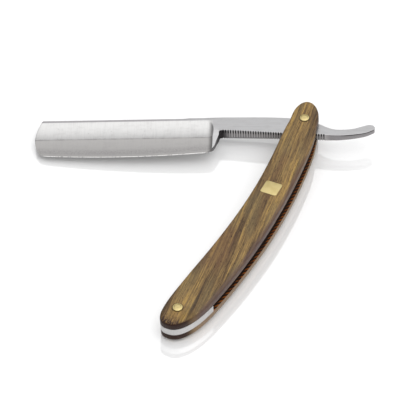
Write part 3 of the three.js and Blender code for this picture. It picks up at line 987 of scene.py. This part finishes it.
def steelMaterial(name):
    look, form = steelLook, bladeForm
    material, steel = newMaterial(name)
    place = steel.space()
    x, y, z = steel.axes(place)
    nx, ny, nz = steel.normal()
    alongTang = steel.noise(place, (0.05, 1.6, 1.6), detail=5, roughness=0.7)
    spineToEdge = steel.noise(place, (3.5, 0.10, 0.10), detail=5, roughness=0.75)
    blotches = steel.noise(place, (0.25, 0.5, 0.5), detail=4, roughness=0.6)
    speckle = steel.noise(place, (1.8, 1.2, 1.2), detail=2)
    pits = steel.noise(place, (1.1, 1.1, 1.1), detail=2)
    ground = 1 - steel.between(x, form["shoulderX"] - 1.15, form["shoulderX"] - 0.95)
    upper = steel.between(y, form["creaseY"] - 0.12, form["creaseY"] + 0.12)
    flat = steel.between(y, form["spineFlatY"] - 0.04, form["spineFlatY"] + 0.04)
    hollow = ground * (1 - flat)
    colour = steel.mix(upper, look["lowerHollow"], look["upperHollow"])
    colour = steel.mix(1 - hollow, colour, look["flats"])
    strip = flat * (1 - steel.between(x, -70, -40))
    colour = steel.mix(strip, colour, look["strip"])
    # painted shade along the crease, patchy
    fromCrease = abs(y - form["creaseY"] + (speckle - 0.5) * 0.7)
    crease = (1 - steel.between(fromCrease, 0.15, 0.5)) * hollow
    wearAndShade = 0.35 + steel.between(blotches, 0.4, 0.6) * 0.4
    colour = steel.mix(crease * wearAndShade, colour, look["scratch"])
    fromCrest = x + form["edgeCrest"]
    aboveEdge = y - form["edgeY"] - fromCrest * fromCrest / (2 * form["edgeRadius"])
    nearEdge = steel.between(aboveEdge, 1.0, 2.2) * (1 - steel.between(aboveEdge, 3.2, 5.5))
    nearEdge = nearEdge * ground
    honed = 0.15 + steel.between(speckle, 0.4, 0.62) * 0.5
    colour = steel.mix(nearEdge * honed, colour, look["scratch"])
    scratch = spineToEdge * ground + alongTang * (1 - ground)
    for wear in (steel.between(scratch, 0.42, 0.75) * look["scratchAmount"],
                 steel.between(blotches, 0.45, 0.7) * look["blotchAmount"],
                 steel.between(pits, 0.68, 0.76) * look["pitAmount"] * hollow):
        colour = steel.mix(wear, colour, look["scratch"])
    # painted highlight, broken, along the cutting edge
    bevel = (1 - steel.between(aboveEdge, 0.22, 0.4)) * hollow
    colour = steel.mix(bevel * steel.between(speckle, 0.35, 0.5), colour, look["edge"])

    taper = (form["shankHalf"] - form["tangHalf"]) / (-form["heelX"] - 1 - form["tangLand"])
    half = form["tangHalf"] + steel.maths("MAXIMUM", 0 - x - form["tangLand"], 0) * taper
    rise = (z - midZ) / half
    upright = 1 - steel.between(abs(nz), 0.3, 0.6)
    # painted shade on the faces of shank, tang and tail that turn down towards the front
    below = steel.between(ny * -1, 0.5, 0.8) * (1 - ground)
    colour = steel.mix(below, colour, look["underside"])
    # streaky painted shade on the tail's underside
    onTail = steel.between(x, 8.5, 12) * below
    colour = steel.mix(onTail * (0.75 + alongTang * 0.5), colour, look["tailUnder"])
    # dark line along the upper part of the tail's underside
    tailDarkLine = onTail * steel.between(x, 14, 20) * steel.between(rise, 0.3, 0.55)
    colour = steel.mix(tailDarkLine * 0.75, colour, look["notch"])
    # painted shade inside the notches of the jimps
    slope = (form["tangUnderY"] - form["shankUnderY"]) / -form["heelX"]
    under = y - form["tangUnderY"] - x * slope
    jimped = steel.between(x, form["heelX"] + 1.5, form["heelX"] + 2)
    jimped = jimped * (1 - steel.between(x, 9, 9.5))
    inNotch = steel.between(under, 0.05, 0.2) * (1 - steel.between(under, 0.9, 1.2))
    inNotch = inNotch * jimped * upright
    ends = steel.between(rise, 0.0, 0.3) + 1 - steel.between(rise, -0.9, -0.7)
    inNotch = inNotch * (0.4 + ends * 0.6)
    # painted shadow line along the lower rim of the jimps
    jimpShadowLine = (1 - steel.between(rise, -0.92, -0.78)) * jimped * below
    colour = steel.mix(jimpShadowLine * 0.7, colour, look["notch"])
    # painted shade on the throat's inner curve
    turned = steel.between(nx - ny, 0.5, 0.9) * upright
    throat = steel.between(x, form["heelX"] - 5, form["heelX"] - 1)
    throat = throat * (1 - steel.between(x, form["heelX"] + 2.5, form["heelX"] + 7)) * turned
    throat = throat * (0.62 + steel.between(y, -12, -5) * 0.28)
    shade = steel.maths("MAXIMUM", inNotch, throat)
    colour = steel.mix(shade, colour, look["notch"])
    roughness = look["roughness"] + scratch * 0.12 + blotches * 0.06 + shade * 0.3
    steel.surface(Base_Color=colour, Metallic=1.0, Roughness=roughness,
                  Normal=steel.bump(scratch, 0.02, 0.3))
    return material


brassLook = {
    "bright": (0.680, 0.565, 0.275),
    "wearAndShade": (0.500, 0.390, 0.160),
    "roughness": 0.36,
}


def brassMaterial(name):
    look = brassLook
    material, brass = newMaterial(name)
    place = brass.space(handleTurn)
    brushed = brass.noise(place, (0.4, 9, 9), detail=3)
    cloud = brass.noise(place, (0.35, 0.35, 0.35), detail=4)
    colour = brass.mix(brass.between(cloud, 0.4, 0.7) * 0.5, look["bright"], look["wearAndShade"])
    colour = brass.mix(brushed * 0.25, colour, look["wearAndShade"])
    brass.surface(Base_Color=colour, Metallic=1.0, Roughness=look["roughness"] + brushed * 0.12,
                  Normal=brass.bump(brushed, 0.01, 0.3))
    return material


aluminiumLook = {
    "light": (0.58, 0.575, 0.57),
    "dull": (0.37, 0.36, 0.36),
    "roughness": 0.30,
}


def aluminiumMaterial(name):
    look = aluminiumLook
    material, metal = newMaterial(name)
    place = metal.space(handleTurn)
    brushed = metal.noise(place, (3.5, 3.5, 0.3), detail=3)
    cloud = metal.noise(place, (0.3, 0.3, 0.6), detail=4)
    colour = metal.mix(brushed * 0.3 + cloud * 0.2, look["light"], look["dull"])
    metal.surface(Base_Color=colour, Metallic=1.0, Roughness=look["roughness"] + brushed * 0.15,
                  Normal=metal.bump(brushed, 0.01, 0.4))
    return material


def pinHole(s):
    return rod("hole", pinForm["hole"], s, 0, -1, 2 * midZ + 1)


steel = steelMaterial("ground_steel")
frontWood = woodMaterial("front_scale_wood", 0, 1)
backWood = woodMaterial("back_scale_wood", 310, -1)
brass = brassMaterial("brass")
aluminium = aluminiumMaterial("wedge_aluminium")
print("materials ready")

blade = makeBlade("ground_blade")
finishPiece(blade, "blade", "blade", steel, keepSharp=isGroundLine)
recess = inlayBlock("recess", inlayForm["clearance"], inlayForm["recessDepth"], 0)
front = cutAway(makeScale("wood_front_scale", 1), pinHole(0), pinHole(pinSpacing), recess)
finishPiece(front, "front_scale", "handle", frontWood, place=handlePlace)
back = cutAway(makeScale("wood_back_scale", -1), pinHole(0), pinHole(pinSpacing))
finishPiece(back, "back_scale", "handle", backWood, place=handlePlace)
wedge = cutAway(makeWedge("spacer_wedge"), pinHole(pinSpacing))
finishPiece(wedge, "wedge", "handle", aluminium, place=handlePlace)
inlay = inlayBlock("brass_inlay", 0, inlayForm["thickness"], inlayForm["edgeRound"])
finishPiece(inlay, "inlay_plate", "handle", brass, place=handlePlace)

for where, s in (("pivot", 0), ("wedge", pinSpacing)):
    pin = turnedPiece(f"{where}_peened_pin", pinProfile(sizeOf(f"{where}_pin").z / 2), s, midZ)
    finishPiece(pin, f"{where}_pin", "handle", brass, place=handlePlace)
    for side in ("front", "back"):
        node = f"{where}_{side}_collar"
        low, high = (corner.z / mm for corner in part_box(node))
        flip = side == "back"
        seat = high if flip else low
        collar = turnedPiece(f"{where}_{side}_rivet_collar", collarProfile(), s, seat, flip)
        finishPiece(collar, node, "handle", brass, place=handlePlace)

for side in ("front", "back"):
    node = f"pivot_{side}_washer"
    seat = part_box(node)[0].z / mm
    washer = turnedPiece(f"pivot_{side}_bearing", washerProfile(sizeOf(node).z), 0, seat)
    finishPiece(washer, node, "handle", brass, place=handlePlace)
print("pieces ready")


stageForm = {
    "normal": (0.0506, 0.0014, 0.9987),
    "height": -2.3,
    "size": 3000,
    "colour": (0.87, 0.87, 0.87),
    "glow": 0.10,
    "roughness": 0.02,
    "shine": 2.6,
}


def makeFloor():
    form = stageForm
    bm = bmesh.new()
    bmesh.ops.create_grid(bm, x_segments=1, y_segments=1, size=form["size"] / 2)
    lean = Vector(form["normal"]).to_track_quat("Z", "Y").to_matrix().to_4x4()
    place = Matrix.Scale(mm, 4) @ Matrix.Translation((0, 0, form["height"])) @ lean
    bmesh.ops.transform(bm, matrix=place, verts=bm.verts)
    floor = makeObject("floor", bm)
    material, paint = newMaterial("white_acrylic")
    paint.surface(Base_Color=(*form["colour"], 1), Roughness=form["roughness"], IOR=form["shine"],
                  Emission_Color=(1, 1, 1, 1), Emission_Strength=form["glow"])
    floor.data.materials.append(material)


makeFloor()

skyForm = {
    "zenith": (1.35, 1.35, 1.35),
    "middle": (0.78, 0.78, 0.785),
    "horizon": (0.30, 0.30, 0.30),
    "strength": 1.22,
    "lean": 0.40,
}


def makeSky():
    form = skyForm
    world = bpy.data.worlds.new("studio")
    bpy.context.scene.world = world
    world.use_nodes = True
    sky = Finish(world.node_tree)
    x, _, z = sky.axes(sky.add("ShaderNodeTexCoord", out="Generated"))
    colour = sky.ramp(z, [(0.0, form["horizon"]), (0.25, form["horizon"]), (0.62, form["middle"]),
                          (0.95, form["zenith"])])
    strength = x * form["lean"] + form["strength"]
    background = sky.add("ShaderNodeBackground", {}, {"Color": colour, "Strength": strength})
    sky.end("ShaderNodeOutputWorld", background)


makeSky()

lampForm = {
    "fill": {"azimuth": 65, "elevation": 55, "distance": 0.9, "size": 0.5, "power": 0.6},
}


def wayTo(form):    # unit vector from the razor towards a lamp or the camera
    turn, rise = math.radians(form["azimuth"]), math.radians(form["elevation"])
    level = math.cos(rise)
    return Vector((math.sin(turn) * level, -math.cos(turn) * level, math.sin(rise)))


def makeLamp(name, form, aim):
    away = wayTo(form)
    light = bpy.data.lights.new(name, "AREA")
    light.shape = "SQUARE"
    light.size = form["size"]
    light.energy = form["power"]
    lamp = bpy.data.objects.new(name, light)
    lamp.location = aim + away * form["distance"]
    lamp.rotation_euler = (-away).to_track_quat("-Z", "Y").to_euler()
    bpy.context.scene.collection.objects.link(lamp)


boxCentre = (cadLow + cadHigh) / 2
for lampName, lampSettings in lampForm.items():
    makeLamp(lampName, lampSettings, boxCentre)

cameraForm = {
    "aimOffset": (-0.0023, 0.0285, -0.0175),
    "distance": 1.1,
    "azimuth": 4.49,
    "elevation": 44.43,
    "roll": 4.06,
    "lens": 222.75,
    "sensor": 36,
    "nearClip": 0.05,
}


def makeCamera():
    form = cameraForm
    away = wayTo(form)
    camera = bpy.data.objects.new("camera", bpy.data.cameras.new("camera"))
    camera.data.lens = form["lens"]
    camera.data.sensor_width = form["sensor"]
    camera.data.clip_start = form["nearClip"]
    facing = (-away).to_track_quat("-Z", "Y").to_matrix().to_4x4()
    roll = Matrix.Rotation(math.radians(-form["roll"]), 4, "Z")
    spot = boxCentre + Vector(form["aimOffset"]) + away * form["distance"]
    camera.matrix_world = Matrix.Translation(spot) @ facing @ roll
    bpy.context.scene.collection.objects.link(camera)
    bpy.context.scene.camera = camera


makeCamera()
bpy.context.scene.view_settings.view_transform = "Standard"
print("stage ready")
